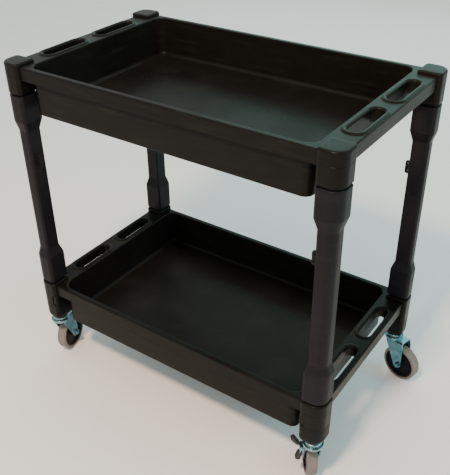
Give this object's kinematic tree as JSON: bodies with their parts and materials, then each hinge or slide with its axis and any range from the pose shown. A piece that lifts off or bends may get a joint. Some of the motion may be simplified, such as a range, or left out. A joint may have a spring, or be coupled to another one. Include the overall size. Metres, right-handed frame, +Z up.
{
  "type": "rolling utility cart",
  "caption": "Rolling utility cart: deep moulded tub trays above and below, hand slots in both end rims, hollow tapered corner legs and swivel stem casters, with side brakes on a diagonal.",
  "frame": {"origin": "on the floor under the middle of the cart", "axes": "+X along the cart's length, from one handle end to the other; +Y across its width; +Z up"},
  "size_m": [0.8978, 0.47, 0.8001],
  "materials": {
    "tray_plastic": "charcoal moulded plastic with a fine pebbled texture and a soft satin sheen",
    "leg_plastic": "charcoal blow-moulded plastic, a little cooler than the trays, satin",
    "foot_plastic": "charcoal moulded plastic, satin",
    "zinc_plate": "bright zinc-plated stamped steel",
    "bush_steel": "plain drawn steel tube",
    "tread_rubber": "warm light grey non-marking rubber, matt with fine scuffs",
    "wheel_core_plastic": "black moulded plastic, satin",
    "pedal_rubber": "black dipped rubber, matt"
  },
  "bodies": {
    "root": {"top_tray": "tray_plastic", "bottom_tray": "tray_plastic", "leg_front_left": "leg_plastic", "foot_front_left": "foot_plastic", "caster_stem_front_left": "zinc_plate", "leg_front_right": "leg_plastic", "foot_front_right": "foot_plastic", "caster_stem_front_right": "zinc_plate", "leg_back_right": "leg_plastic", "foot_back_right": "foot_plastic", "caster_stem_back_right": "zinc_plate", "leg_back_left": "leg_plastic", "foot_back_left": "foot_plastic", "caster_stem_back_left": "zinc_plate"},
    "swivel_front_left": {"fork_front_left": "zinc_plate", "swivel_bearing_front_left": "zinc_plate", "axle_bolt_front_left": "zinc_plate", "axle_nut_front_left": "zinc_plate", "hub_bush_front_left": "bush_steel"},
    "wheel_front_left": {"wheel_core_front_left": "wheel_core_plastic", "tread_front_left": "tread_rubber"},
    "swivel_front_right": {"fork_front_right": "zinc_plate", "swivel_bearing_front_right": "zinc_plate", "axle_bolt_front_right": "zinc_plate", "axle_nut_front_right": "zinc_plate", "hub_bush_front_right": "bush_steel", "brake_pin_front_right": "zinc_plate"},
    "wheel_front_right": {"wheel_core_front_right": "wheel_core_plastic", "tread_front_right": "tread_rubber"},
    "brake_front_right": {"brake_lever_front_right": "zinc_plate", "brake_pedal_upper_front_right": "pedal_rubber", "brake_pedal_lower_front_right": "pedal_rubber"},
    "swivel_back_right": {"fork_back_right": "zinc_plate", "swivel_bearing_back_right": "zinc_plate", "axle_bolt_back_right": "zinc_plate", "axle_nut_back_right": "zinc_plate", "hub_bush_back_right": "bush_steel"},
    "wheel_back_right": {"wheel_core_back_right": "wheel_core_plastic", "tread_back_right": "tread_rubber"},
    "swivel_back_left": {"fork_back_left": "zinc_plate", "swivel_bearing_back_left": "zinc_plate", "axle_bolt_back_left": "zinc_plate", "axle_nut_back_left": "zinc_plate", "hub_bush_back_left": "bush_steel", "brake_pin_back_left": "zinc_plate"},
    "wheel_back_left": {"wheel_core_back_left": "wheel_core_plastic", "tread_back_left": "tread_rubber"},
    "brake_back_left": {"brake_lever_back_left": "zinc_plate", "brake_pedal_upper_back_left": "pedal_rubber", "brake_pedal_lower_back_left": "pedal_rubber"}
  },
  "joints": [
    {"name": "swivel_turn_front_left", "type": "hinge", "parent": "root", "child": "swivel_front_left", "pos_m": [-0.37088, -0.20895, 0.112], "axis": [0, 0, 1], "continuous": true},
    {"name": "wheel_roll_front_left", "type": "hinge", "parent": "swivel_front_left", "child": "wheel_front_left", "pos_m": [-0.37834, -0.17783, 0.046], "axis": [-0.9724, -0.2334, 0], "continuous": true},
    {"name": "swivel_turn_front_right", "type": "hinge", "parent": "root", "child": "swivel_front_right", "pos_m": [0.37088, -0.20895, 0.112], "axis": [0, 0, 1], "continuous": true},
    {"name": "wheel_roll_front_right", "type": "hinge", "parent": "swivel_front_right", "child": "wheel_front_right", "pos_m": [0.35207, -0.18306, 0.046], "axis": [-0.809, -0.5878, 0], "continuous": true},
    {"name": "brake_press_front_right", "type": "hinge", "parent": "swivel_front_right", "child": "brake_front_right", "pos_m": [0.34562, -0.21247, 0.092], "axis": [0.5878, -0.809, 0], "range_deg": [0, 8]},
    {"name": "swivel_turn_back_right", "type": "hinge", "parent": "root", "child": "swivel_back_right", "pos_m": [0.37088, 0.20895, 0.112], "axis": [0, 0, 1], "continuous": true},
    {"name": "wheel_roll_back_right", "type": "hinge", "parent": "swivel_back_right", "child": "wheel_back_right", "pos_m": [0.40192, 0.20121, 0.046], "axis": [0.2419, 0.9703, 0], "continuous": true},
    {"name": "swivel_turn_back_left", "type": "hinge", "parent": "root", "child": "swivel_back_left", "pos_m": [-0.37088, 0.20895, 0.112], "axis": [0, 0, 1], "continuous": true},
    {"name": "wheel_roll_back_left", "type": "hinge", "parent": "swivel_back_left", "child": "wheel_back_left", "pos_m": [-0.40192, 0.20121, 0.046], "axis": [0.2419, -0.9703, 0], "continuous": true},
    {"name": "brake_press_back_left", "type": "hinge", "parent": "swivel_back_left", "child": "brake_back_left", "pos_m": [-0.37707, 0.18421, 0.092], "axis": [0.9703, 0.2419, 0], "range_deg": [0, 8]}
  ]
}
